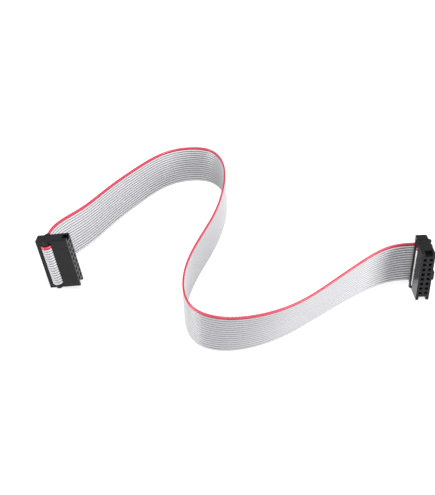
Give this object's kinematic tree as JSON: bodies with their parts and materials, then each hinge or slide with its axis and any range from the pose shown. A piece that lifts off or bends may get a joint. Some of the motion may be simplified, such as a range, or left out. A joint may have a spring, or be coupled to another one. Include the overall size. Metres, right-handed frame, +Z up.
{
  "type": "ribbon cable",
  "caption": "Flat grey ribbon cable standing on edge in an S, with a red first conductor and a black keyed insulation-displacement socket on each end.",
  "frame": {"origin": "on the floor, under the middle of the box that holds the two sockets", "axes": "+X from the left socket to the right socket, +Y to the back of the cable's loop, +Z up along the ribbon's width to its red edge"},
  "size_m": [0.1725, 0.1394, 0.027],
  "materials": {
    "ribbon_pvc": "semi-matt grey PVC",
    "socket_plastic": "semi-matt black glass-filled polyester",
    "contact_metal": "gold over nickel"
  },
  "bodies": {
    "root": {"ribbon_cable": "ribbon_pvc", "socket_body_left": "socket_plastic", "socket_cover_left": "socket_plastic", "strain_relief_left": "socket_plastic", "socket_body_right": "socket_plastic", "socket_cover_right": "socket_plastic", "strain_relief_right": "socket_plastic", "contact_left_01": "contact_metal", "contact_left_02": "contact_metal", "contact_left_03": "contact_metal", "contact_left_04": "contact_metal", "contact_left_05": "contact_metal", "contact_left_06": "contact_metal", "contact_left_07": "contact_metal", "contact_left_08": "contact_metal", "contact_left_09": "contact_metal", "contact_left_10": "contact_metal", "contact_left_11": "contact_metal", "contact_left_12": "contact_metal", "contact_left_13": "contact_metal", "contact_left_14": "contact_metal", "contact_left_15": "contact_metal", "contact_left_16": "contact_metal", "contact_right_01": "contact_metal", "contact_right_02": "contact_metal", "contact_right_03": "contact_metal", "contact_right_04": "contact_metal", "contact_right_05": "contact_metal", "contact_right_06": "contact_metal", "contact_right_07": "contact_metal", "contact_right_08": "contact_metal", "contact_right_09": "contact_metal", "contact_right_10": "contact_metal", "contact_right_11": "contact_metal", "contact_right_12": "contact_metal", "contact_right_13": "contact_metal", "contact_right_14": "contact_metal", "contact_right_15": "contact_metal", "contact_right_16": "contact_metal"}
  },
  "joints": []
}
